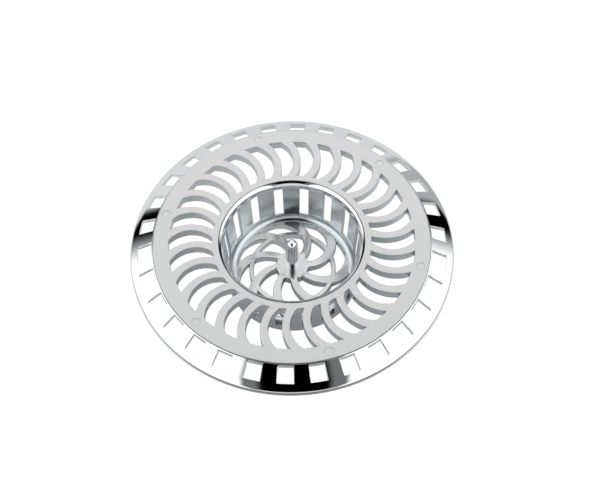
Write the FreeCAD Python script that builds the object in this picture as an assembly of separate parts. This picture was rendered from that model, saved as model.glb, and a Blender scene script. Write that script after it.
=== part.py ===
"""Round sink strainer: a windowed rim, a swirl grille plate, a slotted basket and a lifting pin.

Millimetres. +Z is up, and the origin is at the centre of the basket's foot, on the surface it stands on.
Angles are in degrees, counted from +X towards +Y.
"""
import FreeCAD
import Part
import os
from math import acos, atan2, cos, degrees, radians, sin, tan

# Grille plate
plate_diameter = 68.0
mouth_diameter = 36.0          # top of the plate's bore, where the basket hangs
mouth_flare = 0.7              # width of the countersink round the top of the bore
mouth_flare_depth = 1.0
vane_thickness = 2.3
outer_band_width = 3.8         # plain ring outside the slots
inner_band_width = 1.55        # plain ring between the slots and the mouth
slot_count = 30
slot_start_angle = 11.35       # middle of the first slot's inner end
slot_lean = 2.4                # how far each slot's outer end is ahead of its inner end
vane_inner_width = 2.45
vane_outer_width = 3.1
slot_leading_turn = 97.0       # angle through which the slot's outer, more bowed side turns
slot_trailing_turn = 62.0      # angle through which its flatter side turns
plate_edge_rounding = 0.25

# Rim round the plate
rim_width = 5.9                # from the plate's edge out to the rim's edge
rim_step = 0.15                # how far the plate stands above the rim's inner edge
rim_fall = 3.35                # drop of the sloping face
rim_shell = 1.0
rim_edge_height = 1.0
rim_bead_width = 1.7           # flat foot under the rim's edge
rim_edge_rounding = 0.8
seat_wall = 0.35               # upright wall round the plate's edge
ledge_width = 3.1              # flat ledge under the plate's outer band
lap_thickness = 0.85           # plate left above the ledge
window_count = 30
window_angle = 6.0
window_first_angle = 3.0
window_margin = 0.3            # sloping metal left between a window and the bead

# Rivets through the plate's band and the rim's ledge
rivet_count = 6
rivet_first_angle = 45.0
rivet_inset = 1.9              # from the plate's edge to a rivet's axis
rivet_shank_radius = 0.7
rivet_head_radius = 1.05
rivet_head_thickness = 0.5
rivet_tail_radius = 1.15
rivet_tail_thickness = 0.45
rivet_sink = 0.08              # how far the heads lie below the plate's face

# Basket wall
basket_depth = 13.6            # from the plate's face down to the floor's outer band
basket_wall_thickness = 0.5
basket_taper = 0.65            # how much the wall draws in from lip to floor
lip_tilt = 25.0                # slope at which the lip leaves the plate's face
lip_rounding = 2.0
lip_height = 1.6               # from the plate's face down to the windows
collar_width = 1.2             # collar that bears against the underside of the plate
collar_thickness = 0.8
foot_width = 1.5               # inward foot that carries the floor
foot_thickness = 0.8
wall_window_count = 16
wall_window_width = 2.3
wall_window_first_angle = 11.25

# Basket floor
floor_thickness = 1.6
floor_cove = 1.5               # hollow rounding from the outer band up to the floor's edge
floor_band_flat = 0.25         # flat left between the cove and the gaps
floor_edge_land = 0.25         # narrow top of the floor's edge, against the wall
floor_edge_upright = 0.3       # straight rise above the cove
hub_radius = 4.1
hub_rise = 1.9                 # height of the hub above the floor's outer band
hub_thickness = 2.2
arm_count = 8
arm_hub_width = 1.6
arm_band_width = 2.75
arm_first_angle = 4.0          # where the first arm leaves the hub
arm_sweep = 42.1               # from the hub round to the outer band
arm_turn = 97.0                # angle through which an arm's own arc turns
arm_root = 2.6                 # length of an arm run on into the hub and the band
hoop_reach = 0.744             # radius of the hoop as a share of the gaps' reach
hoop_width = 1.1
hoop_drop = 0.1                # how far the hoop lies below the arms' tops

# Lifting pin
pin_foot_radius = 1.8
pin_tip_radius = 1.4
pin_tip_drop = 1.1             # from the plate's face down to the pin's tip
pin_shank_radius = 0.95
pin_tail_radius = 1.7
pin_tail_thickness = 0.6

# Clearances
seat_clearance = 0.1           # plate edge in the rim
bore_clearance = 0.05          # basket in the plate, floor in the basket, shanks in their holes

# Heights, from the foot up
floor_underside = foot_thickness
floor_band_top = floor_underside + floor_thickness
floor_edge_top = floor_band_top + floor_cove + floor_edge_upright
hub_top = floor_band_top + hub_rise
hub_underside = hub_top - hub_thickness
plate_face = floor_band_top + basket_depth
plate_underside = plate_face - vane_thickness
lap_underside = plate_face - lap_thickness
rim_slope = rim_fall / rim_width
shell_height = rim_shell * (1 + rim_slope ** 2) ** 0.5
rim_inner_top = plate_face - rim_step
rim_outer_top = rim_inner_top - rim_fall
rim_foot = rim_outer_top - rim_edge_height
ledge_underside = rim_inner_top - seat_wall * rim_slope - shell_height
collar_underside = plate_underside - collar_thickness

# Radii, from the axis out
mouth_radius = mouth_diameter / 2
bore_radius = mouth_radius - mouth_flare
plate_radius = plate_diameter / 2
slot_start_radius = mouth_radius + inner_band_width
slot_end_radius = plate_radius - outer_band_width
seat_radius = plate_radius + seat_clearance
rim_radius = seat_radius + rim_width
window_start_radius = seat_radius + seat_wall
bead_radius = rim_radius - rim_bead_width
window_end_radius = bead_radius - window_margin
ledge_radius = plate_radius - ledge_width
rivet_ring_radius = plate_radius - rivet_inset
lip_radius = mouth_radius - bore_clearance
neck_radius = bore_radius - bore_clearance
collar_radius = neck_radius + collar_width
wall_top_radius = neck_radius - basket_wall_thickness
wall_foot_radius = wall_top_radius - basket_taper
floor_radius = wall_foot_radius - bore_clearance
cove_radius = floor_radius - floor_edge_land
floor_gap_radius = cove_radius - floor_cove - floor_band_flat
hoop_radius = hoop_reach * floor_gap_radius

ORIGIN = FreeCAD.Vector(0, 0, 0)
UP = FreeCAD.Vector(0, 0, 1)
FULL_TURN = 360.0
CUT_MARGIN = 1.0               # how far a cutting tool runs past the faces it cuts


def on_circle(radius, angle, height=0.0):
    """Point at a radius, an angle and a height."""
    return FreeCAD.Vector(radius * cos(radians(angle)), radius * sin(radians(angle)), height)


def arc_edge(first, middle, last):
    """Edge of the circle through three points."""
    return Part.Arc(first, middle, last).toShape()


def concentric_edge(radius, first_angle, last_angle, height):
    """Arc about the axis, from one angle to another."""
    ends_and_middle = (first_angle, (first_angle + last_angle) / 2, last_angle)
    return arc_edge(*[on_circle(radius, angle, height) for angle in ends_and_middle])


def bowed_edge(first, last, turn):
    """Arc between two points that turns by an angle and bows clockwise, seen from above."""
    half = (last - first) * 0.5
    bow = half.Length * tan(radians(turn) / 4)
    clockwise = FreeCAD.Vector(half.y, -half.x, 0).normalize()
    return arc_edge(first, first + half + clockwise * bow, last)


def prism(edges, height):
    """Solid raised from the closed outline of some edges."""
    outline = Part.Wire(Part.__sortEdges__(edges))
    return Part.Face(outline).extrude(UP * height)


def turned(shape, angle):
    """Copy of a shape, turned about the axis."""
    copy = shape.copy()
    copy.rotate(ORIGIN, UP, angle)
    return copy


def ring_of(shape, count):
    """Copies of a shape, evenly spaced about the axis."""
    return [turned(shape, FULL_TURN / count * place) for place in range(count)]


def rounded_corner(before, corner, after, rounding):
    """Tangent points and middle of the arc that rounds a corner of an outline."""
    to_before = (before - corner).normalize()
    to_after = (after - corner).normalize()
    half_angle = acos(to_before.dot(to_after)) / 2
    inward = (to_before + to_after).normalize()
    setback = rounding / tan(half_angle)
    middle = corner + inward * (rounding / sin(half_angle) - rounding)
    return corner + to_before * setback, middle, corner + to_after * setback


def revolved(corners):
    """Solid of revolution; each corner is a radius, a height and, where it is round, a rounding."""
    points = [FreeCAD.Vector(corner[0], 0, corner[1]) for corner in corners]
    edges = []
    stops = []
    for place, corner in enumerate(corners):
        point = points[place]
        rounding = corner[2] if len(corner) > 2 else 0
        if rounding:
            after = points[(place + 1) % len(points)]
            first, middle, last = rounded_corner(points[place - 1], point, after, rounding)
            edges.append(arc_edge(first, middle, last))
            stops.append((first, last))
        else:
            stops.append((point, point))
    for place, (first, last) in enumerate(stops):
        edges.append(Part.makeLine(stops[place - 1][1], first))
    outline = Part.Wire(Part.__sortEdges__(edges))
    return Part.Face(outline).revolve(ORIGIN, UP, FULL_TURN)


def upright_cylinder(radius, foot, top):
    """Cylinder about the axis, from one height to another."""
    return Part.makeCylinder(radius, top - foot, UP * foot)


def at_rivets(shape):
    """Copies of a shape made on the axis, moved out to the rivets' places."""
    moved = shape.copy()
    moved.translate(on_circle(rivet_ring_radius, rivet_first_angle))
    return ring_of(moved, rivet_count)


def slope_height(radius):
    """Height of the rim's sloping upper face at a radius."""
    return rim_inner_top - (radius - seat_radius) * rim_slope


def outer_rim():
    """Polished rim: sloping shell with windows, a bead round its edge and a ledge for the plate."""
    ring = revolved([
        (ledge_radius, ledge_underside),
        (window_start_radius, ledge_underside),
        (bead_radius, slope_height(bead_radius) - shell_height),
        (bead_radius, rim_foot),
        (rim_radius, rim_foot),
        (rim_radius, rim_outer_top, rim_edge_rounding),
        (seat_radius, rim_inner_top),
        (seat_radius, lap_underside),
        (ledge_radius, lap_underside),
    ])
    first = window_first_angle - window_angle / 2
    last = window_first_angle + window_angle / 2
    foot = rim_foot - CUT_MARGIN
    window = prism([
        concentric_edge(window_start_radius, first, last, foot),
        Part.makeLine(on_circle(window_start_radius, first, foot), on_circle(window_end_radius, first, foot)),
        concentric_edge(window_end_radius, first, last, foot),
        Part.makeLine(on_circle(window_start_radius, last, foot), on_circle(window_end_radius, last, foot)),
    ], rim_inner_top + CUT_MARGIN - foot)
    hole = upright_cylinder(rivet_shank_radius + bore_clearance, rim_foot, plate_face)
    return ring.cut(ring_of(window, window_count) + at_rivets(hole))


def swirl_slot():
    """Tool for one crescent slot of the plate: two bowed sides between two concentric ends."""
    foot = plate_underside - CUT_MARGIN
    pitch = FULL_TURN / slot_count
    inner_half = (pitch - degrees(vane_inner_width / slot_start_radius)) / 2
    outer_half = (pitch - degrees(vane_outer_width / slot_end_radius)) / 2
    outer_middle = slot_start_angle + slot_lean
    inner_first = slot_start_angle - inner_half
    inner_last = slot_start_angle + inner_half
    outer_first = outer_middle - outer_half
    outer_last = outer_middle + outer_half
    return prism([
        concentric_edge(slot_start_radius, inner_first, inner_last, foot),
        bowed_edge(on_circle(slot_start_radius, inner_first, foot),
                   on_circle(slot_end_radius, outer_first, foot), slot_leading_turn),
        concentric_edge(slot_end_radius, outer_first, outer_last, foot),
        bowed_edge(on_circle(slot_start_radius, inner_last, foot),
                   on_circle(slot_end_radius, outer_last, foot), slot_trailing_turn),
    ], plate_face + CUT_MARGIN - foot)


def grille_plate():
    """Satin plate with the swirl of slots; its outer band laps over the rim's ledge."""
    disc = revolved([
        (bore_radius, plate_underside),
        (ledge_radius - seat_clearance, plate_underside),
        (ledge_radius - seat_clearance, lap_underside),
        (plate_radius, lap_underside),
        (plate_radius, plate_face, plate_edge_rounding),
        (mouth_radius, plate_face),
        (bore_radius, plate_face - mouth_flare_depth),
    ])
    hole = upright_cylinder(rivet_shank_radius + bore_clearance, plate_underside, plate_face)
    head_seat = plate_face - rivet_sink - rivet_head_thickness
    counterbore = upright_cylinder(rivet_head_radius + bore_clearance, head_seat, plate_face + CUT_MARGIN)
    return disc.cut(ring_of(swirl_slot(), slot_count) + at_rivets(hole.fuse(counterbore)))


def rim_rivets():
    """Rivets that clinch the plate to the ledge: sunk head, shank and a formed tail."""
    head_top = plate_face - rivet_sink
    head_seat = head_top - rivet_head_thickness
    rivet = revolved([
        (0, ledge_underside - rivet_tail_thickness),
        (rivet_tail_radius, ledge_underside - rivet_tail_thickness),
        (rivet_tail_radius, ledge_underside),
        (rivet_shank_radius, ledge_underside),
        (rivet_shank_radius, head_seat),
        (rivet_head_radius, head_seat),
        (rivet_head_radius, head_top),
        (0, head_top),
    ])
    return Part.makeCompound(at_rivets(rivet))


def basket_wall():
    """Polished basket wall: flared lip in the plate's bore, collar under the plate, windows and foot."""
    lip_drop = (lip_radius - wall_top_radius) * tan(radians(lip_tilt))
    shell = revolved([
        (wall_foot_radius - foot_width, 0),
        (wall_foot_radius + basket_wall_thickness, 0),
        (neck_radius, collar_underside),
        (neck_radius, plate_face - mouth_flare_depth),
        (lip_radius, plate_face),
        (wall_top_radius, plate_face - lip_drop, lip_rounding),
        (wall_foot_radius, floor_edge_top),
        (wall_foot_radius, foot_thickness),
        (wall_foot_radius - foot_width, foot_thickness),
    ])
    window_top = plate_face - lip_height
    window_reach = basket_wall_thickness + basket_taper + 2 * CUT_MARGIN
    corner = FreeCAD.Vector(wall_foot_radius - CUT_MARGIN, -wall_window_width / 2, floor_band_top)
    window = Part.makeBox(window_reach, wall_window_width, window_top - floor_band_top, corner)
    bars = shell.cut(ring_of(turned(window, wall_window_first_angle), wall_window_count))
    collar = revolved([
        (neck_radius, collar_underside),
        (collar_radius, collar_underside),
        (collar_radius, plate_underside),
        (neck_radius, plate_underside),
    ])
    return bars.fuse(collar).removeSplitter()


def floor_height(radius, at_hub, at_band):
    """Height of a conical floor face that runs from the hub down to the outer band."""
    share = (radius - hub_radius) / (floor_gap_radius - hub_radius)
    return at_hub + (at_band - at_hub) * share


def swirl_arm():
    """One curved arm in plan, raised through the whole floor; it widens from the hub to the band."""
    start = on_circle(hub_radius, arm_first_angle)
    end = on_circle(floor_gap_radius, arm_first_angle + arm_sweep)
    chord = end - start
    radius = chord.Length / 2 / sin(radians(arm_turn) / 2)
    leftwards = FreeCAD.Vector(-chord.y, chord.x, 0).normalize()
    centre = start + chord * 0.5 + leftwards * (radius * cos(radians(arm_turn) / 2))
    spoke = start - centre
    middle_angle = degrees(atan2(spoke.y, spoke.x)) + arm_turn / 2
    half_reach = arm_turn / 2 + degrees(arm_root / radius)
    angles = (middle_angle - half_reach, middle_angle, middle_angle + half_reach)
    half_widths = (arm_hub_width / 2, (arm_hub_width + arm_band_width) / 4, arm_band_width / 2)
    inner = [centre + on_circle(radius - half, angle) for half, angle in zip(half_widths, angles)]
    outer = [centre + on_circle(radius + half, angle) for half, angle in zip(half_widths, angles)]
    return prism([
        arc_edge(*inner),
        Part.makeLine(inner[2], outer[2]),
        arc_edge(*outer),
        Part.makeLine(inner[0], outer[0]),
    ], hub_top)


def basket_floor():
    """Satin floor: coved outer band, curved arms that rise to a hub with the pin's hole, and a hoop."""
    dome = revolved([
        (0, hub_underside),
        (hub_radius, hub_underside),
        (floor_gap_radius, floor_underside),
        (floor_radius, floor_underside),
        (floor_radius, floor_edge_top),
        (cove_radius, floor_edge_top),
        (cove_radius, floor_band_top, floor_cove),
        (floor_gap_radius, floor_band_top),
        (hub_radius, hub_top),
        (0, hub_top),
    ])
    top = max(hub_top, floor_edge_top)
    band = upright_cylinder(floor_radius, 0, top).cut(upright_cylinder(floor_gap_radius, 0, top))
    plan = upright_cylinder(hub_radius, 0, top).fuse([band] + ring_of(swirl_arm(), arm_count))
    hoop_top = floor_height(hoop_radius, hub_top, floor_band_top) - hoop_drop
    hoop_underside = floor_height(hoop_radius, hub_underside, floor_underside)
    hoop = revolved([
        (hoop_radius - hoop_width / 2, hoop_underside),
        (hoop_radius + hoop_width / 2, hoop_underside),
        (hoop_radius + hoop_width / 2, hoop_top),
        (hoop_radius - hoop_width / 2, hoop_top),
    ])
    hole = upright_cylinder(pin_shank_radius + bore_clearance, 0, hub_top)
    return dome.common(plan).fuse(hoop).cut(hole).removeSplitter()


def lift_pin():
    """Polished pin: round tip, tapered body standing on the hub, shank and a peened tail under it."""
    tip = plate_face - pin_tip_drop
    return revolved([
        (0, hub_underside - pin_tail_thickness),
        (pin_tail_radius, hub_underside - pin_tail_thickness),
        (pin_tail_radius, hub_underside),
        (pin_shank_radius, hub_underside),
        (pin_shank_radius, hub_top),
        (pin_foot_radius, hub_top),
        (pin_tip_radius, tip, pin_tip_radius),
        (0, tip),
    ])


def main():
    os.makedirs("parts", exist_ok=True)
    pieces = {
        "outer_rim": outer_rim(),
        "grille_plate": grille_plate(),
        "rim_rivets": rim_rivets(),
        "basket_wall": basket_wall(),
        "basket_floor": basket_floor(),
        "lift_pin": lift_pin(),
    }
    for name, shape in pieces.items():
        shape.exportStep("parts/" + name + ".step")
        print(name, "solids", len(shape.Solids), "valid", shape.isValid(), "volume", round(shape.Volume, 1))


main()
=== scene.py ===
"""Round sink strainer: polished windowed rim, satin swirl grille, slotted basket and lifting pin.

Everything is in metres in the frame of the construction model: +Z up, the origin under the basket.
"""
import math

import bmesh
import bpy
from mathutils import Matrix, Vector


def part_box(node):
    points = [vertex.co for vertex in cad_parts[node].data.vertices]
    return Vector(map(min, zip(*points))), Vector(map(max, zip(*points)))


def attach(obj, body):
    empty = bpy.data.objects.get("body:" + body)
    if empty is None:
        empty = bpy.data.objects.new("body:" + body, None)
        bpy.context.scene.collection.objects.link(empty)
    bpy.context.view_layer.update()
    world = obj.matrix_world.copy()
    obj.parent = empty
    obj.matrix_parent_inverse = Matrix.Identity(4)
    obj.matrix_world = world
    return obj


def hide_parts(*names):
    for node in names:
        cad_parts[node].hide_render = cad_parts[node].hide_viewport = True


bl_info = {
    "name": "Sink strainer",
    "version": (1, 0, 0),
    "blender": (4, 5, 0),
    "location": "View3D > Sidebar > Strainer",
    "description": "Builds a round sink strainer with a swirl grille and a slotted basket",
    "category": "Object",
}

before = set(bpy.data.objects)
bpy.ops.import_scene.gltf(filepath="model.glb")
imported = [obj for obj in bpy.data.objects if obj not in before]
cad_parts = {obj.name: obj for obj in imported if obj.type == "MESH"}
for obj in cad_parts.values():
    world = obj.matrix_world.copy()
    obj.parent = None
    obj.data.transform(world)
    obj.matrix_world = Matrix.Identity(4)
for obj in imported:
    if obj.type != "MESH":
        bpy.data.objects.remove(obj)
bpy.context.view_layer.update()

MM = 0.001
FULL_TURN = 2 * math.pi

# Meshes
SHARP = math.radians(35)       # edges that turn by more than this are rounded or kept crisp
CRISP = 2                      # skin number of corners that are never rounded
STEP = 0.02 * MM               # run of an upright step between two rows of a lattice
EDGE_SEGMENTS = 3              # faces across a rounded edge
RIM_SEGMENTS = 8               # faces across the rim's rounded outer edge
HOLLOW_SEGMENTS = 16           # faces across the lip's rounding, and across the floor's cove
TIP_SEGMENTS = 24              # faces from the pin's side to the middle of its tip
TIP_SHARE = 0.98               # share of the tip's radius that its rounding takes
COLLAR_COLUMNS = 180           # faces round the collar
RIVET_COLUMNS = 40             # faces round a rivet
PIN_COLUMNS = 96               # faces round the pin

# Studio
WHITE = "FFFFFF"
FLOOR_GLOW = 0.97              # white of the floor to the eye, before the light that falls on it
FLOOR_SHADE = "5E5E5E"         # grey that lets the white floor take the part's shadow
SENSOR_WIDTH = 36              # millimetres
NEAREST_SEEN = 0.01            # metres from the camera

# Brightness and edges of each light. An edge fades from a dark to a lit value of a coordinate of
# the direction looked in: x to the right, y to the back, z up, side to the left or right.
STUDIO_LIGHTS = {
    "softboxes": (1.0, [("side", 0.33, 0.39), ("y", 0.62, 0.42), ("z", 0.13, 0.3)]),
    "dim inner edge": (0.14, [("side", 0.22, 0.28), ("y", 0.62, 0.42), ("z", 0.13, 0.3)]),
    "panel overhead": (0.82, [("side", 0.6, 0.4), ("y", 0.0, 0.12), ("y", 0.42, 0.34)]),
    "panel over the back": (0.82, [("side", 0.56, 0.4), ("y", 0.42, 0.5), ("z", 0.15, 0.2)]),
    "panel low in front": (0.6, [("side", 0.75, 0.6), ("y", -0.74, -0.86), ("z", 0.0, 0.1)]),
    "back wall": (0.36, [("y", 0.2, 0.45), ("z", 0.19, 0.15)]),
    "paler left": (0.62, [("x", 0.4, -0.5), ("y", 0.2, 0.45), ("z", 0.19, 0.15)]),
}
# The studio shows cool and dim between the panels overhead and over the back.
STUDIO_BETWEEN = (0.4, [("side", 0.6, 0.4), ("y", 0.33, 0.41), ("y", 0.51, 0.43)])

# The same for the floor, by place: where it has its back colour rather than the painted shade in
# front, and which share of its white the metal shows as a painted glow under the basket and behind,
# beside the rim, and elsewhere.
FLOOR_UNSHADED_BACK = (1.0, [("y", -54 * MM, -34 * MM)])
# Painted light: the floor glows white in the metal's reflections, most beside the rim and under and
# behind the basket.
PAINTED_GLOW_BEHIND = (0.35, [("y", -8 * MM, 8 * MM)])
PAINTED_GLOW_BESIDE = (0.5, [("reach", 38 * MM, 46 * MM), ("y", -48 * MM, -30 * MM),
                      ("y", 50 * MM, 20 * MM)])
PAINTED_GLOW_ELSEWHERE = 0.1


def low(cad_node, axis):
    """Lowest coordinate of a construction node along an axis."""
    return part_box(cad_node)[0][axis]


def high(cad_node, axis):
    """Highest coordinate of a construction node along an axis."""
    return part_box(cad_node)[1][axis]


def length(name, description, default):
    """Length property in metres."""
    return bpy.props.FloatProperty(
        name=name, description=description, default=default, unit="LENGTH", precision=5)


def angle(name, description, degrees):
    """Angle property, with its default in degrees."""
    return bpy.props.FloatProperty(
        name=name, description=description, default=math.radians(degrees), subtype="ANGLE")


def count(name, description, default):
    """Whole-number property."""
    return bpy.props.IntProperty(name=name, description=description, default=default, min=1)


def hex_colour(name, description, default):
    """Colour property, written as sRGB hex."""
    return bpy.props.StringProperty(name=name, description=description, default=default)


class PlateSizes(bpy.types.PropertyGroup):
    """Satin grille plate and the rivets in its band."""
    face: length("Face", "Height of the face", high("grille_plate", 2))
    underside: length("Underside", "Height of the underside", low("grille_plate", 2))
    radius: length("Radius", "Radius of the plate", high("grille_plate", 0))
    mouth_radius: length("Mouth radius", "Radius of the mouth at the plate's face", 18.0 * MM)
    mouth_flare: length("Mouth flare", "Width of the countersink round the mouth", 0.7 * MM)
    mouth_flare_depth: length(
        "Mouth flare depth", "Depth of the countersink round the mouth", 1.0 * MM)
    band_width: length("Band width", "Plain ring outside the slots", 3.8 * MM)
    ring_width: length("Ring width", "Plain ring between the slots and the mouth", 1.55 * MM)
    lap: length("Lap", "Thickness of the band over the rim's ledge", 0.85 * MM)
    lap_width: length("Lap width", "Width of the band over the rim's ledge", 3.2 * MM)
    slots: count("Slots", "Number of crescent slots", 30)
    slot_angle: angle("Slot angle", "Middle of the first slot's inner end", 11.35)
    slot_lean: angle("Slot lean", "How far a slot's outer end is ahead of its inner end", 2.4)
    vane_inner: length("Vane, inner", "Width of a vane at its inner end", 2.45 * MM)
    vane_outer: length("Vane, outer", "Width of a vane at its outer end", 3.1 * MM)
    leading_turn: angle("Leading turn", "Turn of a slot's more bowed side", 97)
    trailing_turn: angle("Trailing turn", "Turn of a slot's flatter side", 62)
    edge_rounding: length("Edge rounding", "Rounding of the vanes' upper edges", 0.15 * MM)
    rivets: count("Rivets", "Number of rivets in the band", 6)
    rivet_angle: angle("Rivet angle", "Where the first rivet is", 45)
    rivet_ring: length("Rivet ring", "Radius of the ring of rivets", 32.1 * MM)
    rivet_radius: length("Rivet radius", "Radius of a rivet's head", 1.05 * MM)
    rivet_gap: length("Rivet gap", "Play round a rivet's head", 0.02 * MM)
    rivet_sink: length("Rivet sink", "How far a head lies below the face", 0.03 * MM)
    rivet_head: length("Rivet head", "Thickness of a rivet's head", 0.5 * MM)
    rivet_shank: length("Rivet shank", "Radius of a rivet's shank", 0.7 * MM)
    rivet_tail: length("Rivet tail", "Thickness of a rivet's tail", 0.45 * MM)
    rivet_tail_radius: length("Rivet tail radius", "Radius of a rivet's tail", 1.15 * MM)
    rivet_rounding: length("Rivet edges", "Rounding of a rivet's edges", 0.08 * MM)


class RimSizes(bpy.types.PropertyGroup):
    """Polished rim round the plate."""
    radius: length("Radius", "Outer radius of the rim", high("outer_rim", 0))
    top: length("Top", "Height of the sloping face's inner edge", high("outer_rim", 2))
    foot: length("Foot", "Height of the rim's flat foot", low("outer_rim", 2))
    seat_radius: length("Seat radius", "Radius of the seat round the plate", 34.1 * MM)
    ledge_radius: length("Ledge radius", "Inner radius of the ledge under the plate", 30.9 * MM)
    fall: length("Fall", "Drop of the sloping face", 3.35 * MM)
    edge_rounding: length("Edge rounding", "Rounding of the rim's outer edge", 0.8 * MM)
    shell: length("Shell", "Upright thickness of the sloping shell", 1.15 * MM)
    bead_width: length("Bead width", "Width of the foot under the edge", 1.7 * MM)
    windows: count("Windows", "Number of windows", 30)
    window_start: length("Window start", "Inner radius of a window", 34.45 * MM)
    window_end: length("Window end", "Outer radius of a window", 38.0 * MM)
    window_rounding: length("Window edges", "Rounding of the windows' edges", 0.12 * MM)


class BasketSizes(bpy.types.PropertyGroup):
    """Basket wall, basket floor and lifting pin."""
    lip_top: length("Lip top", "Height of the lip", high("basket_wall", 2))
    lip_radius: length("Lip radius", "Outer radius of the flared lip", 17.95 * MM)
    lip_gap: length("Lip gap", "Width of the groove between the lip and the plate", 0.2 * MM)
    lip_rounding: length("Lip rounding", "Rounding inside the lip", 2.0 * MM)
    lip_tilt: angle("Lip tilt", "Slope at which the lip leaves the plate's face", 25)
    thickness: length("Wall thickness", "Thickness of the wall", 0.5 * MM)
    taper: length("Taper", "How much the wall draws in towards the floor", 0.65 * MM)
    foot_width: length("Foot width", "Width of the inward foot", 1.5 * MM)
    foot_height: length("Foot height", "Height of the inward foot", 0.8 * MM)
    collar_radius: length(
        "Collar radius", "Radius of the collar under the plate", high("basket_wall", 0))
    collar_height: length("Collar height", "Height of the collar at its edge", 0.8 * MM)
    collar_root: length("Collar root", "Height of the collar at the wall", 0.2 * MM)
    collar_overlap: length("Collar overlap", "How far the collar runs into the wall", 0.1 * MM)
    collar_rounding: length("Collar edges", "Rounding of the collar's edges", 0.1 * MM)
    windows: count("Windows", "Number of windows in the wall", 16)
    window_angle: angle("Window angle", "Middle of the first window", 11.25)
    window_width: length("Window width", "Width of a window", 2.3 * MM)
    window_drop: length("Window drop", "From the lip down to the windows", 1.6 * MM)
    window_clear: length("Window clear", "Least height of the lip over the windows", 0.05 * MM)
    wall_edge_rounding: length("Window edges", "Rounding of the windows' inner edges", 0.12 * MM)
    floor_radius: length("Floor radius", "Outer radius of the floor", high("basket_floor", 0))
    floor_foot: length("Floor foot", "Height of the floor's underside", low("basket_floor", 2))
    floor_edge: length("Floor edge", "Height of the floor's coved edge", high("basket_floor", 2))
    floor_band: length("Floor band", "Height of the floor's band", 2.4 * MM)
    floor_gap: length("Floor gap", "Radius at which the gaps end", 14.05 * MM)
    floor_land: length("Floor land", "Width of the top of the floor's edge", 0.05 * MM)
    floor_cove: length("Floor cove", "Hollow rounding up to the floor's edge", 1.75 * MM)
    hub_radius: length("Hub radius", "Radius of the hub", 4.1 * MM)
    hub_top: length("Hub top", "Height of the hub", 4.3 * MM)
    hub_foot: length("Hub foot", "Height of the hub's underside", 2.1 * MM)
    hub_bore: length("Hub bore", "Radius of the hub's bore", 1.0 * MM)
    arms: count("Arms", "Number of swirling arms", 8)
    arm_angle: angle("Arm angle", "Where the first arm leaves the hub", 4)
    arm_sweep: angle("Arm sweep", "From the hub round to the band", 42.1)
    arm_turn: angle("Arm turn", "Angle through which an arm's own arc turns", 97)
    arm_hub_width: length("Arm, at the hub", "Width of an arm at the hub", 1.6 * MM)
    arm_band_width: length("Arm, at the band", "Width of an arm at the band", 2.75 * MM)
    arm_root: length("Arm root", "Length of an arm run on into the hub and the band", 2.6 * MM)
    hoop_inner: length("Hoop, inner", "Inner radius of the hoop", 9.9 * MM)
    hoop_outer: length("Hoop, outer", "Outer radius of the hoop", 11.0 * MM)
    floor_edge_rounding: length("Floor edges", "Rounding of the arms' upper edges", 0.25 * MM)
    gap_corner: length("Gap corners", "Rounding of the gaps' corners", 0.3 * MM)
    pin_tip: length("Pin tip", "Height of the pin's tip", high("lift_pin", 2))
    pin_tail: length("Pin tail", "Height of the pin's tail", low("lift_pin", 2))
    pin_foot_radius: length("Pin foot", "Radius of the pin where it stands on the hub", 1.8 * MM)
    pin_tip_radius: length("Pin tip radius", "Radius of the pin's round tip", 1.4 * MM)
    pin_shank: length("Pin shank", "Radius of the shank in the hub", 0.95 * MM)
    pin_tail_radius: length("Pin tail radius", "Radius of the peened tail", 1.7 * MM)
    pin_rounding: length("Pin edges", "Rounding of the pin's edges", 0.1 * MM)


class FinishSettings(bpy.types.PropertyGroup):
    """Colours of the finishes and of the studio."""
    chrome: hex_colour("Chrome", "Colour of the polished chrome", "EDEFF0")
    drawn: hex_colour("Drawn chrome", "Colour of the chrome on the basket", "D3D8DB")
    satin_light: hex_colour("Satin, light", "Lighter grain of the satin steel", "E2E2E1")
    satin_dark: hex_colour("Satin, dark", "Darker grain of the satin steel", "D4D4D3")
    floor_back: hex_colour("Floor, back", "Colour of the studio floor behind the part", "D8DADB")
    # The front colour is painted shade: the floor before the part is dark grey to light and
    # reflections.
    floor_front_painted_shade: hex_colour("Floor, front", "Colour of the studio floor before the part", "5A5C5E")
    softbox: hex_colour("Softboxes", "Colour of the softboxes, panels and back wall", WHITE)
    studio: hex_colour("Studio", "Colour of the dim studio between the panels", "A9BFCF")


def linear(colour):
    """Linear RGBA of an sRGB hex colour."""
    channels = [int(colour[place:place + 2], 16) / 255 for place in (0, 2, 4)]
    return [c / 12.92 if c <= 0.04045 else ((c + 0.055) / 1.055) ** 2.4 for c in channels] + [1.0]


def node(tree, kind, settings=None, inputs=None):
    """Adds a node, sets its attributes and sets or links its inputs."""
    made = tree.nodes.new(kind)
    for name, value in (settings or {}).items():
        setattr(made, name, value)
    for name, value in (inputs or {}).items():
        if isinstance(value, bpy.types.NodeSocket):
            tree.links.new(value, made.inputs[name])
        else:
            made.inputs[name].default_value = value
    return made


def new_material(name):
    """Empty node material and its tree."""
    material = bpy.data.materials.new(name)
    material.use_nodes = True
    material.node_tree.nodes.clear()
    return material, material.node_tree


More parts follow.
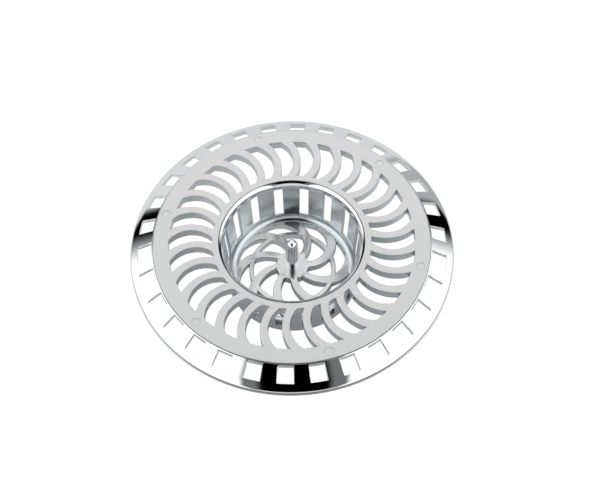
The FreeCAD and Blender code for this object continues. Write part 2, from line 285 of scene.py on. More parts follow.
def polished_chrome():
    """Mirror-polished chrome plate: near-perfect reflections that waver over the buffed surface."""
    name = "polished chrome plate"
    if name in bpy.data.materials:
        return bpy.data.materials[name]
    finish = bpy.context.scene.strainer_finish
    material, tree = new_material(name)
    place = node(tree, "ShaderNodeTexCoord")
    # Buffing leaves waves some 5 mm long.
    waves = node(tree, "ShaderNodeTexNoise", None,
                 {"Vector": place.outputs["Object"], "Scale": 1 / (5 * MM), "Detail": 1.0})
    haze = node(tree, "ShaderNodeMapRange", None,
                {"Value": waves.outputs["Fac"], "To Min": 0.025, "To Max": 0.06})
    relief = node(tree, "ShaderNodeBump", None,
                  {"Height": waves.outputs["Fac"], "Strength": 0.1, "Distance": 0.05 * MM})
    shader = node(tree, "ShaderNodeBsdfPrincipled", None, {
        "Base Color": linear(finish.chrome), "Metallic": 1.0,
        "Roughness": haze.outputs["Result"], "Normal": relief.outputs["Normal"]})
    node(tree, "ShaderNodeOutputMaterial", None, {"Surface": shader.outputs["BSDF"]})
    return material


def drawn_chrome():
    """Chrome over drawn or cut metal: fine lines left under the plating blur its reflections."""
    name = "drawn chrome plate"
    if name in bpy.data.materials:
        return bpy.data.materials[name]
    finish = bpy.context.scene.strainer_finish
    material, tree = new_material(name)
    place = node(tree, "ShaderNodeTexCoord")
    # Drawing lines run up the wall, some 0.4 mm apart and ten times as long.
    upright = node(tree, "ShaderNodeMapping", None,
                   {"Vector": place.outputs["Object"], "Scale": (1.0, 1.0, 0.1)})
    lines = node(tree, "ShaderNodeTexNoise", None,
                 {"Vector": upright.outputs["Vector"], "Scale": 1 / (0.4 * MM), "Detail": 2.0})
    haze = node(tree, "ShaderNodeMapRange", None,
                {"Value": lines.outputs["Fac"], "To Min": 0.16, "To Max": 0.26})
    shader = node(tree, "ShaderNodeBsdfPrincipled", None, {
        "Base Color": linear(finish.drawn), "Metallic": 1.0, "Roughness": haze.outputs["Result"]})
    node(tree, "ShaderNodeOutputMaterial", None, {"Surface": shader.outputs["BSDF"]})
    return material


def satin_steel(name="satin blasted steel", smoothest=0.3, roughest=0.42):
    """Blasted satin steel: soft broad reflections with a fine speckled grain.

    A finer blast is less rough, and its reflections are clearer.
    """
    if name in bpy.data.materials:
        return bpy.data.materials[name]
    finish = bpy.context.scene.strainer_finish
    material, tree = new_material(name)
    place = node(tree, "ShaderNodeTexCoord")
    # The blasted grain is about 0.1 mm; it is drawn at 0.35 mm so that it shows.
    grain = node(tree, "ShaderNodeTexNoise", None,
                 {"Vector": place.outputs["Object"], "Scale": 1 / (0.35 * MM), "Detail": 2.0})
    speckle = node(tree, "ShaderNodeMix", {"data_type": "RGBA"}, {
        "Factor": grain.outputs["Fac"],
        "A": linear(finish.satin_dark), "B": linear(finish.satin_light)})
    sheen = node(tree, "ShaderNodeMapRange", None,
                 {"Value": grain.outputs["Fac"], "To Min": smoothest, "To Max": roughest})
    relief = node(tree, "ShaderNodeBump", None,
                  {"Height": grain.outputs["Fac"], "Strength": 0.12, "Distance": 0.03 * MM})
    shader = node(tree, "ShaderNodeBsdfPrincipled", None, {
        "Base Color": speckle.outputs["Result"], "Metallic": 1.0,
        "Roughness": sheen.outputs["Result"], "Normal": relief.outputs["Normal"]})
    node(tree, "ShaderNodeOutputMaterial", None, {"Surface": shader.outputs["BSDF"]})
    return material


def on_ring(radius, turn, height):
    """Point at a radius, an angle in radians and a height."""
    return Vector((radius * math.cos(turn), radius * math.sin(turn), height))


def steps(first, last, number):
    """Evenly spaced values from first to last, with both ends."""
    return [first + (last - first) * place / number for place in range(number + 1)]


def skins_of(rows, turns_at):
    """Upper and lower skin of a lattice, from rows of a radius, a top and a foot."""
    near = [[on_ring(radius, turn, top) for turn in turns_at(radius)] for radius, top, _ in rows]
    far = [[on_ring(radius, turn, foot) for turn in turns_at(radius)] for radius, _, foot in rows]
    return near, far


def lattice(near, far, is_solid, leaves_open=None):
    """Closed shell between two skins of rows and closed columns; cells that aren't solid are holes.

    The upper skin can be left open at cells that get another form. Returns the mesh and a function
    that gives the corner of a skin at a row and a column.
    """
    mesh = bmesh.new()
    skin_layer = mesh.verts.layers.int.new("upper_skin")
    rows = len(near)
    columns = len(near[0])
    corners = {}

    def corner(upper, row, column):
        key = (upper, row, column % columns)
        if key not in corners:
            corners[key] = mesh.verts.new((near if upper else far)[row][column % columns])
            corners[key][skin_layer] = int(upper)
        return corners[key]

    def solid(row, column):
        return 0 <= row < rows - 1 and is_solid(row, column % columns)

    for row in range(rows - 1):
        for column in range(columns):
            if not solid(row, column):
                continue
            loop = ((row, column), (row, column + 1), (row + 1, column + 1), (row + 1, column))
            beyond = ((row - 1, column), (row, column + 1), (row + 1, column), (row, column - 1))
            if not (leaves_open and leaves_open(row, column)):
                mesh.faces.new([corner(True, *place) for place in loop])
            mesh.faces.new([corner(False, *place) for place in reversed(loop)])
            for side, neighbour in enumerate(beyond):
                if not solid(*neighbour):
                    first = loop[side]
                    last = loop[(side + 1) % 4]
                    mesh.faces.new((corner(True, *last), corner(True, *first),
                                    corner(False, *first), corner(False, *last)))
    return mesh, corner


def lathe(mesh, profile, columns, place):
    """Adds a solid of revolution; the profile runs from the axis round to the axis."""
    skin_layer = mesh.verts.layers.int.get("upper_skin") or mesh.verts.layers.int.new("upper_skin")
    rings = []
    for radius, height in profile:
        turns = steps(0, FULL_TURN, columns)[:-1] if radius > 0 else [0]
        ring = [mesh.verts.new(place @ on_ring(radius, turn, height)) for turn in turns]
        for vertex in ring:
            vertex[skin_layer] = 1
        rings.append(ring)
    for lower, upper in zip(rings, rings[1:]):
        for column in range(columns):
            corners = [lower[column % len(lower)], lower[(column + 1) % len(lower)],
                       upper[(column + 1) % len(upper)], upper[column % len(upper)]]
            mesh.faces.new(list(dict.fromkeys(corners)))


def rounded(corners, segments):
    """Outline in which each corner with a third value is replaced by an arc of that radius."""
    points = [Vector((corner[0], corner[1])) for corner in corners]
    outline = []
    for place, corner in enumerate(corners):
        if len(corner) < 3:
            outline.append(tuple(points[place]))
            continue
        to_before = (points[place - 1] - points[place]).normalized()
        to_after = (points[place + 1] - points[place]).normalized()
        half = to_before.angle(to_after) / 2
        centre = points[place] + (to_before + to_after).normalized() * (corner[2] / math.sin(half))
        first = points[place] + to_before * (corner[2] / math.tan(half)) - centre
        last = points[place] + to_after * (corner[2] / math.tan(half)) - centre
        spread = first.angle_signed(last)
        for share in steps(0, 1, segments):
            spoke = Matrix.Rotation(-spread * share, 2) @ first
            outline.append(tuple(centre + spoke))
    return outline


def is_wall(skins, face):
    """Whether a face runs from one skin of a shell to the other."""
    return skins == {0, 1}


def make_piece(name, mesh, cad_node, finishes, upper, lower=0.0, upright=0.0,
               takes_second=is_wall):
    """Turns a mesh into a piece that stands for a construction node.

    Sharp edges get the rounding of the skin they lie on, or of an upright corner, or stay crisp.
    Where two finishes are given, a test of each face tells which of them take the second.
    """
    bmesh.ops.recalc_face_normals(mesh, faces=mesh.faces)
    skin_layer = mesh.verts.layers.int["upper_skin"]
    weight_layer = mesh.edges.layers.float.new("bevel_weight_edge")
    widest = max(upper, lower, upright)
    for edge in mesh.edges:
        if edge.calc_face_angle(0) < SHARP:
            continue
        ends = [vertex[skin_layer] for vertex in edge.verts]
        rounding = 0 if CRISP in ends else (lower, upright, upper)[sum(ends)]
        edge[weight_layer] = rounding / widest
        edge.smooth = rounding > 0
    for face in mesh.faces:
        face.smooth = True
        skins = {vertex[skin_layer] for vertex in face.verts}
        face.material_index = int(len(finishes) > 1 and takes_second(skins, face))
    data = bpy.data.meshes.new(name)
    mesh.to_mesh(data)
    mesh.free()
    for finish in finishes:
        data.materials.append(finish)
    piece = bpy.data.objects.new(name, data)
    bpy.context.scene.collection.objects.link(piece)
    bevel = piece.modifiers.new("rounded edges", "BEVEL")
    bevel.limit_method = "WEIGHT"
    bevel.width = widest
    bevel.segments = EDGE_SEGMENTS
    bevel.harden_normals = True
    bevel.use_clamp_overlap = False
    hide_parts(cad_node)
    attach(piece, "root")


class STRAINER_OT_rim(bpy.types.Operator):
    """Build the polished rim with its windows"""
    bl_idname = "strainer.rim"
    bl_label = "Outer rim"

    def execute(self, context):
        sizes = context.scene.strainer_rim
        plate = context.scene.strainer_plate
        ledge_top = plate.face - plate.lap
        slope = sizes.fall / (sizes.radius - sizes.seat_radius)
        bead = sizes.radius - sizes.bead_width
        across = 8                 # columns in a window, and in a bar
        along = 3                  # rows along a window

        def face(radius):
            return sizes.top - (radius - sizes.seat_radius) * slope

        ledge_foot = face(sizes.window_start) - sizes.shell
        rows = [
            (sizes.ledge_radius, ledge_top, ledge_foot),
            (sizes.seat_radius - STEP, ledge_top, ledge_foot),
            (sizes.seat_radius, sizes.top, ledge_foot),
        ]
        first_window_row = len(rows)
        rows += [(radius, face(radius), face(radius) - sizes.shell)
                 for radius in steps(sizes.window_start, sizes.window_end, along)]
        window_rows = range(first_window_row, len(rows) - 1)
        rows += [(bead - STEP, face(bead - STEP), face(bead - STEP) - sizes.shell),
                 (bead, face(bead), sizes.foot)]
        edge = rounded([(bead, face(bead)),
                        (sizes.radius, sizes.top - sizes.fall, sizes.edge_rounding),
                        (sizes.radius, sizes.foot)], RIM_SEGMENTS)[1:-1]
        rows += [(radius, height, sizes.foot) for radius, height in edge]
        turns = steps(0, FULL_TURN, 2 * across * sizes.windows)[:-1]
        near, far = skins_of(rows, lambda radius: turns)

        def is_solid(row, column):
            return row not in window_rows or column % (2 * across) >= across

        mesh, _ = lattice(near, far, is_solid)
        make_piece("outer_rim_polished", mesh, "outer_rim", [polished_chrome()],
                   upper=sizes.window_rounding, lower=sizes.window_rounding)
        return {"FINISHED"}


def arc_between(first, last, turn, number):
    """Points of an arc that turns by an angle and bows clockwise, seen from above."""
    half = (last - first) / 2
    clockwise = Vector((half.y, -half.x, 0)).normalized()
    radius = half.length / math.sin(turn / 2)
    centre = first + half - clockwise * (radius * math.cos(turn / 2))
    spoke = first - centre
    sense = 1 if spoke.cross(last - centre).z > 0 else -1
    return [centre + Matrix.Rotation(sense * part, 3, "Z") @ spoke
            for part in steps(0, turn, number)]


class STRAINER_OT_plate(bpy.types.Operator):
    """Build the satin plate with its swirl of slots and the seats of the rivets"""
    bl_idname = "strainer.plate"
    bl_label = "Grille plate"

    def execute(self, context):
        sizes = context.scene.strainer_plate
        pitch = FULL_TURN / sizes.slots
        start = sizes.mouth_radius + sizes.ring_width
        end = sizes.radius - sizes.band_width
        lap_start = sizes.radius - sizes.lap_width
        across = 8                 # columns in a slot, and in a vane
        along = 24                 # rows along a vane
        block = 3                  # half the columns round a rivet's seat

        inner_half = (pitch - sizes.vane_inner / start) / 2
        outer_half = (pitch - sizes.vane_outer / end) / 2
        outer_middle = sizes.slot_angle + sizes.slot_lean
        leading = arc_between(on_ring(start, sizes.slot_angle - inner_half, 0),
                              on_ring(end, outer_middle - outer_half, 0),
                              sizes.leading_turn, along)
        trailing = arc_between(on_ring(start, sizes.slot_angle + inner_half, 0),
                               on_ring(end, outer_middle + outer_half, 0),
                               sizes.trailing_turn, along)

        def polar(point):
            return math.hypot(point.x, point.y), math.atan2(point.y, point.x)

        # One pitch of columns: across the slot, then across the vane that follows it.
        swirl = []
        shares = steps(0, 1, across)[:-1]
        for front, back in zip(leading, trailing):
            front_radius, front_turn = polar(front)
            back_radius, back_turn = polar(back)
            slot = [(front_radius + (back_radius - front_radius) * share,
                     front_turn + (back_turn - front_turn) * share) for share in shares]
            vane = [(back_radius + (front_radius - back_radius) * share,
                     back_turn + (front_turn + pitch - back_turn) * share) for share in shares]
            swirl.append(slot + vane)

        def whole(pitch_row, radius, height):
            return [on_ring(radius or own_radius, turn + pitch * place, height)
                    for place in range(sizes.slots) for own_radius, turn in pitch_row]

        # The band's columns are even, so that a rivet's seat falls on the same columns each time.
        swirl_end = swirl[-1][0][1]
        pitches = math.floor((sizes.rivet_angle - swirl_end) / pitch)
        first_even = sizes.rivet_angle - pitches * pitch
        even_step = pitch / (2 * across)
        shift = round((first_even - swirl_end) / even_step)
        even = [(0, first_even + (place - shift) * even_step) for place in range(2 * across)]

        # Each row: the columns of one pitch, a radius if it isn't their own, the top and the foot.
        face = sizes.face
        underside = sizes.underside
        rows = [(swirl[0], sizes.mouth_radius - sizes.mouth_flare,
                 face - sizes.mouth_flare_depth, underside),
                (swirl[0], sizes.mouth_radius, face, underside)]
        mouth_row = len(rows) - 1
        slot_rows = range(len(rows), len(rows) + along)
        rows += [(pitch_row, None, face, underside) for pitch_row in swirl]
        rows += [(even, radius, face, underside)
                 for radius in ((end + lap_start) / 2, lap_start - STEP)]
        seat_row = len(rows)
        seat_end = seat_row + 2 * block
        band_radii = steps(lap_start, 2 * sizes.rivet_ring - lap_start, 2 * block) + [sizes.radius]
        rows += [(even, radius, face, face - sizes.lap) for radius in band_radii]
        near = [whole(pitch_row, radius, top) for pitch_row, radius, top, _ in rows]
        far = [whole(pitch_row, radius, foot) for pitch_row, radius, _, foot in rows]
        columns = 2 * across * sizes.slots
        seat_columns = {}
        for rivet in range(sizes.rivets):
            turn = sizes.rivet_angle + FULL_TURN / sizes.rivets * rivet
            middle = round((turn - even[0][1]) / even_step) % columns
            for column in range(middle - block, middle + block):
                seat_columns[column % columns] = middle

        def is_solid(row, column):
            return row not in slot_rows or column % (2 * across) >= across

        def is_seat(row, column):
            return seat_row <= row < seat_end and column in seat_columns

        mesh, corner = lattice(near, far, is_solid, is_seat)
        skin_layer = mesh.verts.layers.int["upper_skin"]
        for column in range(columns):
            corner(True, mouth_row, column)[skin_layer] = CRISP
        for middle in set(seat_columns.values()):
            left = middle - block
            right = middle + block
            border = [(seat_row, column) for column in range(left, right)]
            border += [(row, right) for row in range(seat_row, seat_end)]
            border += [(seat_end, column) for column in range(right, left, -1)]
            border += [(row, left) for row in range(seat_end, seat_row, -1)]
            edge = [corner(True, *place) for place in border]
            axis = on_ring(sizes.rivet_ring, even[0][1] + middle * even_step, 0)
            rings = [edge]
            for level in (face, face - sizes.rivet_sink - sizes.rivet_head):
                ring = []
                for vertex in edge:
                    spoke = vertex.co - axis
                    spoke.z = 0
                    spot = axis + spoke.normalized() * (sizes.rivet_radius + sizes.rivet_gap)
                    ring.append(mesh.verts.new((spot.x, spot.y, level)))
                    ring[-1][skin_layer] = CRISP
                rings.append(ring)
            for outer, inner in zip(rings, rings[1:]):
                for place in range(len(edge)):
                    following = (place + 1) % len(edge)
                    mesh.faces.new((outer[place], outer[following], inner[following], inner[place]))
            mesh.faces.new(rings[-1])
        make_piece("grille_plate_satin", mesh, "grille_plate",
                   [satin_steel(), drawn_chrome()], upper=sizes.edge_rounding)
        return {"FINISHED"}


class STRAINER_OT_rivets(bpy.types.Operator):
    """Build the rivets in the plate's band"""
    bl_idname = "strainer.rivets"
    bl_label = "Rim rivets"

    def execute(self, context):
        sizes = context.scene.strainer_plate
        top = sizes.face - sizes.rivet_sink
        seat = top - sizes.rivet_head
        tail_foot = low("rim_rivets", 2)
        tail_top = tail_foot + sizes.rivet_tail
        profile = [(0, tail_foot), (sizes.rivet_tail_radius, tail_foot),
                   (sizes.rivet_tail_radius, tail_top), (sizes.rivet_shank, tail_top),
                   (sizes.rivet_shank, seat), (sizes.rivet_radius, seat),
                   (sizes.rivet_radius, top), (0, top)]
        mesh = bmesh.new()
        for rivet in range(sizes.rivets):
            turn = sizes.rivet_angle + FULL_TURN / sizes.rivets * rivet
            place = Matrix.Translation(on_ring(sizes.rivet_ring, turn, 0))
            lathe(mesh, profile, RIVET_COLUMNS, place)
        make_piece("rim_rivets_satin", mesh, "rim_rivets", [satin_steel()],
                   upper=sizes.rivet_rounding)
        return {"FINISHED"}


class STRAINER_OT_wall(bpy.types.Operator):
    """Build the polished basket wall with its windows, lip, collar and foot"""
    bl_idname = "strainer.wall"
    bl_label = "Basket wall"

    def execute(self, context):
        sizes = context.scene.strainer_basket
        plate = context.scene.strainer_plate
        neck = sizes.lip_radius - plate.mouth_flare
        inside_top = neck - sizes.thickness
        inside_foot = inside_top - sizes.taper
        outside_foot = inside_foot + sizes.thickness
        window_top = sizes.lip_top - sizes.window_drop
        collar_foot = plate.underside - sizes.collar_height
        in_window = 4              # columns in a window
        in_bar = 12                # columns in a bar
        along = 12                 # rows along a window, under the plate
        sector = in_window + in_bar
        pitch = FULL_TURN / sizes.windows
        lip_edge = sizes.lip_radius - sizes.lip_gap
        lip_drop = (lip_edge - inside_top) * math.tan(sizes.lip_tilt)
        profile = rounded([(lip_edge, sizes.lip_top),
                           (inside_top, sizes.lip_top - lip_drop, sizes.lip_rounding),
                           (inside_foot, sizes.floor_edge)], HOLLOW_SEGMENTS)[1:]
        lip = [point for point in profile if point[1] > window_top + sizes.window_clear]

        def inside(height):
            for upper, lower in zip(profile, profile[1:]):
                if upper[1] >= height >= lower[1]:
                    share = (upper[1] - height) / (upper[1] - lower[1])
                    return upper[0] + (lower[0] - upper[0]) * share
            return inside_foot

        def outside(height):
            share = min(1, height / collar_foot)
            return outside_foot + (neck - outside_foot) * share

        rows = []
        for place, point in enumerate(lip):
            share = place / (len(lip) - 1)
            rows.append((point, (lip_edge + (neck - lip_edge) * share,
                                 sizes.lip_top - plate.mouth_flare_depth * share)))
        heights = ([window_top] + steps(plate.underside, sizes.floor_edge, along)
                   + [sizes.floor_band])
        first_window_row = len(rows)
        rows += [((inside(height), height), (outside(height), height)) for height in heights]
        window_rows = range(first_window_row, len(rows) - 1)
        low_edge = sizes.foot_height
        rows += [
            ((inside_foot, low_edge), (outside(low_edge), low_edge)),
            ((inside_foot - sizes.foot_width, low_edge), (outside_foot, 0)),
            ((inside_foot - sizes.foot_width, 0), (inside_foot, 0)),
        ]

        def whole(radius, height):
            half = math.asin(sizes.window_width / 2 / radius)
            one = steps(-half, half, in_window)[:-1] + steps(half, pitch - half, in_bar)[:-1]
            return [on_ring(radius, sizes.window_angle + turn + pitch * place, height)
                    for place in range(sizes.windows) for turn in one]

        near = [whole(*inner) for inner, outer in rows]
        far = [whole(*outer) for inner, outer in rows]

        def is_solid(row, column):
            return row not in window_rows or column % sector >= in_window

        def is_drawn(skins, face):
            return face.calc_center_median().z < window_top

        mesh, _ = lattice(near, far, is_solid)
        make_piece("basket_wall_polished", mesh, "basket_wall",
                   [polished_chrome(), drawn_chrome()], upper=sizes.wall_edge_rounding,
                   takes_second=is_drawn)

        # The collar thins towards the wall, so that it leaves the tops of the windows free.
        collar_top = plate.underside
        collar = [(neck - sizes.collar_overlap, collar_top, collar_top - sizes.collar_root),
                  (sizes.collar_radius, collar_top, collar_foot)]
        turns = steps(0, FULL_TURN, COLLAR_COLUMNS)[:-1]
        near, far = skins_of(collar, lambda radius: turns)
        mesh, _ = lattice(near, far, lambda row, column: True)
        make_piece("basket_collar_polished", mesh, "basket_wall",
                   [polished_chrome()], upper=sizes.collar_rounding, lower=sizes.collar_rounding)
        return {"FINISHED"}


def circle_through(first, middle, last):
    """Centre and radius of the circle through three points in plan."""
    one = middle - first
    two = last - first
    cross = 2 * (one.x * two.y - one.y * two.x)
    centre = first + Vector((
        (two.y * one.length_squared - one.y * two.length_squared) / cross,
        (one.x * two.length_squared - two.x * one.length_squared) / cross, 0))
    return centre, (first - centre).length


class STRAINER_OT_floor(bpy.types.Operator):
    """Build the basket floor with its hub, swirling arms, hoop and coved band"""
    bl_idname = "strainer.floor"
    bl_label = "Basket floor"

    def execute(self, context):
        sizes = context.scene.strainer_basket
        start = on_ring(sizes.hub_radius, sizes.arm_angle, 0)
        end = on_ring(sizes.floor_gap, sizes.arm_angle + sizes.arm_sweep, 0)
        chord = end - start
        radius = chord.length / 2 / math.sin(sizes.arm_turn / 2)
        leftwards = Vector((-chord.y, chord.x, 0)).normalized()
        centre = start + chord / 2 + leftwards * (radius * math.cos(sizes.arm_turn / 2))
        spoke = start - centre
        middle = math.atan2(spoke.y, spoke.x) + sizes.arm_turn / 2
        reach = sizes.arm_turn / 2 + sizes.arm_root / radius
        turns = (middle - reach, middle, middle + reach)
        halves = (sizes.arm_hub_width / 2, (sizes.arm_hub_width + sizes.arm_band_width) / 4,
                  sizes.arm_band_width / 2)
        sides = [circle_through(*[centre + on_ring(radius + sign * half, turn, 0)
                                  for half, turn in zip(halves, turns)]) for sign in (1, -1)]

        def side_turn(side, at_radius):
            """Angle at which a side of the first arm crosses a radius."""
            side_centre, side_radius = side
            distance = side_centre.length
            squares = at_radius ** 2 + distance ** 2 - side_radius ** 2
            cosine = squares / (2 * at_radius * distance)
            bearing = math.atan2(side_centre.y, side_centre.x)
            return bearing - math.acos(max(-1, min(1, cosine)))

        def height(at_radius, hub, band):
            share = (at_radius - sizes.hub_radius) / (sizes.floor_gap - sizes.hub_radius)
            return hub + (band - hub) * max(0, min(1, share))

        in_arm = 6                 # columns in an arm
        in_gap = 12                # columns in a gap
        in_hub = 3                 # rows across the hub
        before_hoop = 10           # rows of the gaps inside the hoop
        after_hoop = 8             # rows of the gaps outside the hoop
        sector = in_arm + in_gap
        pitch = FULL_TURN / sizes.arms

        def columns(at_radius):
            within = max(sizes.hub_radius, min(sizes.floor_gap, at_radius))
            first, last = sorted(side_turn(side, within) for side in sides)
            one = steps(first, last, in_arm)[:-1] + steps(last, first + pitch, in_gap)[:-1]
            return [turn + pitch * place for place in range(sizes.arms) for turn in one]

        cove = rounded([(sizes.floor_gap, sizes.floor_band),
                        (sizes.floor_radius - sizes.floor_land, sizes.floor_band, sizes.floor_cove),
                        (sizes.floor_radius - sizes.floor_land, sizes.floor_edge)], HOLLOW_SEGMENTS)
        radii = steps(sizes.hub_bore, sizes.hub_radius, in_hub)[:-1]
        inner_rows = range(len(radii), len(radii) + before_hoop)
        radii += steps(sizes.hub_radius, sizes.hoop_inner, before_hoop)
        outer_rows = range(len(radii), len(radii) + after_hoop)
        radii += steps(sizes.hoop_outer, sizes.floor_gap, after_hoop)
        profile = [(at_radius, height(at_radius, sizes.hub_top, sizes.floor_band),
                    height(at_radius, sizes.hub_foot, sizes.floor_foot)) for at_radius in radii]
        profile += [(point[0], point[1], sizes.floor_foot) for point in cove[1:]]
        profile.append((sizes.floor_radius, sizes.floor_edge, sizes.floor_foot))
        near, far = skins_of(profile, columns)

        def is_solid(row, column):
            in_gaps = row in inner_rows or row in outer_rows
            return not in_gaps or column % sector < in_arm

        def is_drawn(skins, face):
            beyond_gaps = face.calc_center_median().xy.length > sizes.floor_gap
            return is_wall(skins, face) or beyond_gaps

        mesh, _ = lattice(near, far, is_solid)
        make_piece("basket_floor_satin", mesh, "basket_floor",
                   [satin_steel("fine satin steel", smoothest=0.18, roughest=0.28), drawn_chrome()],
                   upper=sizes.floor_edge_rounding, upright=sizes.gap_corner,
                   takes_second=is_drawn)
        return {"FINISHED"}


class STRAINER_OT_pin(bpy.types.Operator):
    """Build the polished lifting pin"""
    bl_idname = "strainer.pin"
    bl_label = "Lift pin"

    def execute(self, context):
        sizes = context.scene.strainer_basket
        tip = rounded([(sizes.pin_foot_radius, sizes.hub_top),
                       (sizes.pin_tip_radius, sizes.pin_tip, sizes.pin_tip_radius * TIP_SHARE),
                       (0, sizes.pin_tip)], TIP_SEGMENTS)
        profile = [(0, sizes.pin_tail), (sizes.pin_tail_radius, sizes.pin_tail),
                   (sizes.pin_tail_radius, sizes.hub_foot), (sizes.pin_shank, sizes.hub_foot),
                   (sizes.pin_shank, sizes.hub_top)] + tip
        mesh = bmesh.new()
        lathe(mesh, profile, PIN_COLUMNS, Matrix.Identity(4))
        make_piece("lift_pin_polished", mesh, "lift_pin", [polished_chrome()],
                   upper=sizes.pin_rounding)
        return {"FINISHED"}


class StageSettings(bpy.types.PropertyGroup):
    """Studio round the strainer and the camera."""
    floor_size: length("Floor size", "Side of the studio floor", 6.0)
    lens: bpy.props.FloatProperty(
        name="Lens", description="Focal length in millimetres on a 36 mm sensor", default=71.76,
        unit="CAMERA")
    camera: bpy.props.FloatVectorProperty(
        name="Camera", description="Place of the camera, from the middle of the plate's face",
        default=(1.983 * MM, -160.863 * MM, 244.738 * MM), subtype="TRANSLATION", precision=5)
    elevation: angle("Elevation", "Angle at which the camera looks down", 57.19)
    roll: angle("Roll", "Turn of the camera about its own axis", -1.04)
    light: bpy.props.FloatProperty(
        name="Light", description="Strength of the studio's lights", default=1.3)


def soft_patch(tree, coordinates, brightness, edges):
    """Brightness in a patch; each of its edges fades from a dark to a lit value of a coordinate."""
    share = brightness
    for name, dark, lit in edges:
        edge = node(tree, "ShaderNodeMapRange", {"interpolation_type": "SMOOTHSTEP"}, {
            "Value": coordinates[name], "From Min": min(dark, lit), "From Max": max(dark, lit),
            "To Min": float(dark > lit), "To Max": float(lit > dark)})
        share = node(tree, "ShaderNodeMath", {"operation": "MULTIPLY"},
                     {0: share, 1: edge.outputs[0]}).outputs[0]
    return share


def brightest(tree, shares):
    """The largest of several brightnesses."""
    most = shares[0]
    for share in shares[1:]:
        most = node(tree, "ShaderNodeMath", {"operation": "MAXIMUM"},
                    {0: most, 1: share}).outputs[0]
    return most


def studio_floor():
    """Pale matt floor: white to the eye; light and reflections see painted shade on it before the
    part, and a painted glow.
    """
    finish = bpy.context.scene.strainer_finish
    material, tree = new_material("pale matt studio floor")
    rays = node(tree, "ShaderNodeLightPath")
    place = node(tree, "ShaderNodeTexCoord")
    parts = node(tree, "ShaderNodeSeparateXYZ", None, {0: place.outputs["Object"]})
    reach = node(tree, "ShaderNodeVectorMath", {"operation": "LENGTH"},
                 {0: place.outputs["Object"]})
    coordinates = {"y": parts.outputs["Y"], "reach": reach.outputs["Value"]}
    unshaded_back = soft_patch(tree, coordinates, *FLOOR_UNSHADED_BACK)
    # Painted shade: the floor before the part takes a dark grey in place of the shadow there.
    painted_shade_tone = node(tree, "ShaderNodeMix", {"data_type": "RGBA"}, {
        "Factor": unshaded_back, "A": linear(finish.floor_front_painted_shade), "B": linear(finish.floor_back)})
    matt = node(tree, "ShaderNodeBsdfDiffuse", None, {"Color": painted_shade_tone.outputs["Result"]})
    faint = node(tree, "ShaderNodeBsdfDiffuse", None, {"Color": linear(FLOOR_SHADE)})
    glow = node(tree, "ShaderNodeEmission", None,
                {"Color": linear(WHITE), "Strength": FLOOR_GLOW})
    white = node(tree, "ShaderNodeAddShader", None, {0: glow.outputs[0], 1: faint.outputs[0]})
    # Painted glow: a share of the floor's white emission, set by place, is shown to reflections.
    painted_glow = brightest(tree, [soft_patch(tree, coordinates, *PAINTED_GLOW_BEHIND),
                             soft_patch(tree, coordinates, *PAINTED_GLOW_BESIDE), PAINTED_GLOW_ELSEWHERE])
    glow_in_reflections = node(tree, "ShaderNodeMath", {"operation": "MULTIPLY"},
                     {0: rays.outputs["Is Glossy Ray"], 1: painted_glow})
    seen = brightest(tree, [rays.outputs["Is Camera Ray"], glow_in_reflections.outputs[0]])
    mixed = node(tree, "ShaderNodeMixShader", None,
                 {0: seen, 1: matt.outputs[0], 2: white.outputs[0]})
    # From below, the floor is clear, so that the underside can be looked at.
    sides = node(tree, "ShaderNodeNewGeometry")
    clear = node(tree, "ShaderNodeBsdfTransparent")
    either = node(tree, "ShaderNodeMixShader", None,
                  {0: sides.outputs["Backfacing"], 1: mixed.outputs[0], 2: clear.outputs[0]})
    node(tree, "ShaderNodeOutputMaterial", None, {"Surface": either.outputs[0]})
    return material


def studio_world(strength):
    """White softboxes, panels and a back wall in the metal, on black; white to the eye."""
    finish = bpy.context.scene.strainer_finish
    world = bpy.data.worlds.new("softboxes and panels")
    world.use_nodes = True
    tree = world.node_tree
    tree.nodes.clear()
    bearing = node(tree, "ShaderNodeTexCoord")
    parts = node(tree, "ShaderNodeSeparateXYZ", None, {0: bearing.outputs["Generated"]})
    sideways = node(tree, "ShaderNodeMath", {"operation": "ABSOLUTE"}, {0: parts.outputs["X"]})
    coordinates = {"x": parts.outputs["X"], "y": parts.outputs["Y"], "z": parts.outputs["Z"],
                   "side": sideways.outputs[0]}
    share = brightest(tree, [soft_patch(tree, coordinates, *light)
                             for light in STUDIO_LIGHTS.values()])
    lit = node(tree, "ShaderNodeMath", {"operation": "MULTIPLY"}, {0: share, 1: strength})
    lamps = node(tree, "ShaderNodeBackground", None,
                 {"Color": linear(finish.softbox), "Strength": lit.outputs[0]})
    between = soft_patch(tree, coordinates, *STUDIO_BETWEEN)
    studio = node(tree, "ShaderNodeBackground", None,
                  {"Color": linear(finish.studio), "Strength": between})
    around = node(tree, "ShaderNodeAddShader", None, {0: lamps.outputs[0], 1: studio.outputs[0]})
    plain = node(tree, "ShaderNodeBackground", None, {"Color": linear(WHITE), "Strength": 1.0})
    rays = node(tree, "ShaderNodeLightPath")
    mixed = node(tree, "ShaderNodeMixShader", None,
                 {0: rays.outputs["Is Camera Ray"], 1: around.outputs[0], 2: plain.outputs[0]})
    node(tree, "ShaderNodeOutputWorld", None, {"Surface": mixed.outputs[0]})
    return world


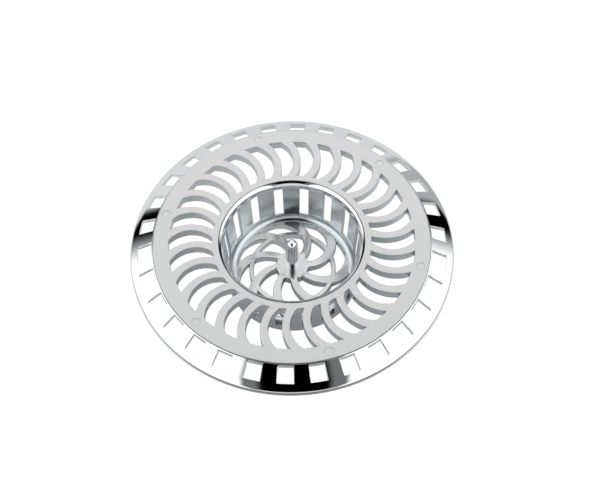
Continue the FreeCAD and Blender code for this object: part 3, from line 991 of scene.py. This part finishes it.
class STRAINER_OT_stage(bpy.types.Operator):
    """Set up the studio floor, the softboxes and the camera"""
    bl_idname = "strainer.stage"
    bl_label = "Studio"

    def execute(self, context):
        scene = context.scene
        sizes = scene.strainer_stage
        scene.view_settings.view_transform = "Standard"
        scene.world = studio_world(sizes.light)

        half = sizes.floor_size / 2
        data = bpy.data.meshes.new("studio_floor")
        data.from_pydata([(-half, -half, 0), (half, -half, 0), (half, half, 0), (-half, half, 0)],
                         [], [(0, 1, 2, 3)])
        data.materials.append(studio_floor())
        floor = bpy.data.objects.new("studio_floor", data)
        scene.collection.objects.link(floor)

        lens = bpy.data.cameras.new("camera")
        lens.lens = sizes.lens
        lens.sensor_width = SENSOR_WIDTH
        lens.clip_start = NEAREST_SEEN
        camera = bpy.data.objects.new("camera", lens)
        tilt = Matrix.Rotation(math.radians(90) - sizes.elevation, 4, "X")
        roll = Matrix.Rotation(sizes.roll, 4, "Z")
        place = Vector(sizes.camera) + Vector((0, 0, scene.strainer_plate.face))
        camera.matrix_world = Matrix.Translation(place) @ tilt @ roll
        scene.collection.objects.link(camera)
        scene.camera = camera
        return {"FINISHED"}


class STRAINER_PT_panel(bpy.types.Panel):
    """Lists the steps that build the strainer."""
    bl_idname = "STRAINER_PT_panel"
    bl_label = "Sink strainer"
    bl_space_type = "VIEW_3D"
    bl_region_type = "UI"
    bl_category = "Strainer"

    def draw(self, context):
        for operator in OPERATORS:
            self.layout.operator(operator.bl_idname)


SETTINGS = {
    "strainer_plate": PlateSizes,
    "strainer_rim": RimSizes,
    "strainer_basket": BasketSizes,
    "strainer_finish": FinishSettings,
    "strainer_stage": StageSettings,
}
OPERATORS = (STRAINER_OT_rim, STRAINER_OT_plate, STRAINER_OT_rivets, STRAINER_OT_wall,
             STRAINER_OT_floor, STRAINER_OT_pin, STRAINER_OT_stage)


def register():
    """Registers the settings, the operators and the panel."""
    for name, group in SETTINGS.items():
        bpy.utils.register_class(group)
        setattr(bpy.types.Scene, name, bpy.props.PointerProperty(type=group))
    for operator in OPERATORS:
        bpy.utils.register_class(operator)
    bpy.utils.register_class(STRAINER_PT_panel)


def unregister():
    """Takes back what register added."""
    bpy.utils.unregister_class(STRAINER_PT_panel)
    for operator in reversed(OPERATORS):
        bpy.utils.unregister_class(operator)
    for name, group in SETTINGS.items():
        delattr(bpy.types.Scene, name)
        bpy.utils.unregister_class(group)


def main():
    """Builds the strainer and its studio."""
    register()
    bpy.ops.strainer.rim()
    bpy.ops.strainer.plate()
    bpy.ops.strainer.rivets()
    bpy.ops.strainer.wall()
    bpy.ops.strainer.floor()
    bpy.ops.strainer.pin()
    bpy.ops.strainer.stage()
    bpy.context.view_layer.update()


if __name__ == "__main__":
    main()
